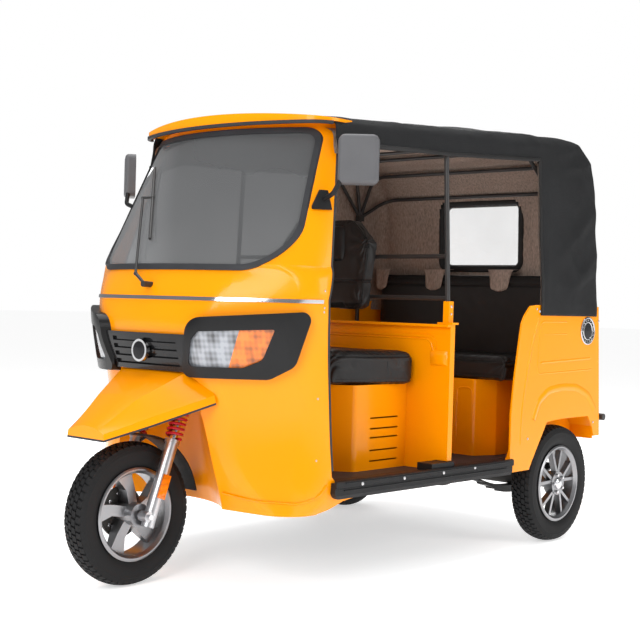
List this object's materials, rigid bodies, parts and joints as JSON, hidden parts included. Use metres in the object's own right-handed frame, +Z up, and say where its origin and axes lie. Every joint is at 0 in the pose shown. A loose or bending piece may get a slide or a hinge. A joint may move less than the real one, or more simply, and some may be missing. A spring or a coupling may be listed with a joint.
{
  "type": "auto rickshaw",
  "caption": "Three-wheeled auto rickshaw with a pressed steel nose, fabric hood, driver's seat, passenger bench and steered front wheel.",
  "frame": {"origin": "on the ground, under the middle of the vehicle's length and width", "axes": "+Z up, +X the vehicle's left, -Y towards its nose"},
  "size_m": [1.3954, 2.5999, 1.8637],
  "materials": {
    "body_yellow": "gloss",
    "trim_rubber": "matt",
    "windscreen_glass": "clear",
    "window_film": "clear",
    "bright_trim": "polished",
    "charcoal_plastic": "satin",
    "gloss_black": "gloss",
    "lamp_clear": "clear",
    "lamp_amber": "gloss",
    "lamp_red": "gloss",
    "black_paint": "satin",
    "floor_mat": "ribbed",
    "seat_vinyl": "satin",
    "hood_cloth": "coated weave",
    "dark_iron": "rough",
    "fork_alloy": "satin",
    "bright_steel": "ground",
    "spring_red": "gloss",
    "wheel_alloy": "polished",
    "tyre_rubber": "matt"
  },
  "bodies": {
    "body": {"front_cowl": "body_yellow", "roof_cap": "body_yellow", "wheel_well": "body_yellow", "driver_seat_box": "body_yellow", "partition": "body_yellow", "post_sockets": "body_yellow", "rear_side_panels": "body_yellow", "rear_panel": "body_yellow", "wheel_houses": "body_yellow", "passenger_seat_box": "body_yellow", "windscreen_seal": "trim_rubber", "visor_lip": "trim_rubber", "door_edge_trim": "trim_rubber", "beak_edge_strip": "trim_rubber", "windscreen": "windscreen_glass", "rear_window": "window_film", "chrome_strip": "bright_trim", "grille_ring": "bright_trim", "headlamp_bezels": "charcoal_plastic", "door_steps": "charcoal_plastic", "dashboard": "charcoal_plastic", "mirror_heads": "charcoal_plastic", "mirror_arms": "charcoal_plastic", "grille_panel": "gloss_black", "headlamps": "lamp_clear", "indicators": "lamp_amber", "tail_lamps": "lamp_red", "posts_and_rails": "black_paint", "hood_bows": "black_paint", "hood_posts": "black_paint", "rear_bumper": "black_paint", "chassis_rails": "black_paint", "head_tube": "black_paint", "leaf_springs": "black_paint", "wiper": "black_paint", "floor_pan": "floor_mat", "driver_cushion": "seat_vinyl", "driver_backrest": "seat_vinyl", "bench_cushion": "seat_vinyl", "bench_backrest": "seat_vinyl", "hood": "hood_cloth", "engine": "dark_iron", "rear_axle": "dark_iron"},
    "steering": {"fork_legs": "fork_alloy", "fork_sliders": "bright_steel", "fork_springs": "spring_red", "steering_stem": "black_paint", "handlebar": "black_paint", "grips": "trim_rubber", "front_axle": "bright_steel", "splash_guard": "charcoal_plastic", "fork_reflectors": "lamp_amber"},
    "front_wheel": {"front_rim": "wheel_alloy", "front_tyre": "tyre_rubber"},
    "rear_wheel_left": {"rear_rim_left": "wheel_alloy", "rear_tyre_left": "tyre_rubber"},
    "rear_wheel_right": {"rear_rim_right": "wheel_alloy", "rear_tyre_right": "tyre_rubber"}
  },
  "joints": [
    {"name": "steering", "type": "hinge", "parent": "body", "child": "steering", "pos_m": [0, -0.81278, 0.71471], "axis": [0, 0.342, 0.9397], "range_deg": [-35, 35]},
    {"name": "front_wheel_spin", "type": "hinge", "parent": "steering", "child": "front_wheel", "pos_m": [0, -1.04, 0.26], "axis": [1, 0, 0], "continuous": true},
    {"name": "rear_wheel_left_spin", "type": "hinge", "parent": "body", "child": "rear_wheel_left", "pos_m": [0.595, 0.91, 0.26], "axis": [1, 0, 0], "continuous": true},
    {"name": "rear_wheel_right_spin", "type": "hinge", "parent": "body", "child": "rear_wheel_right", "pos_m": [-0.595, 0.91, 0.26], "axis": [1, 0, 0], "continuous": true}
  ]
}
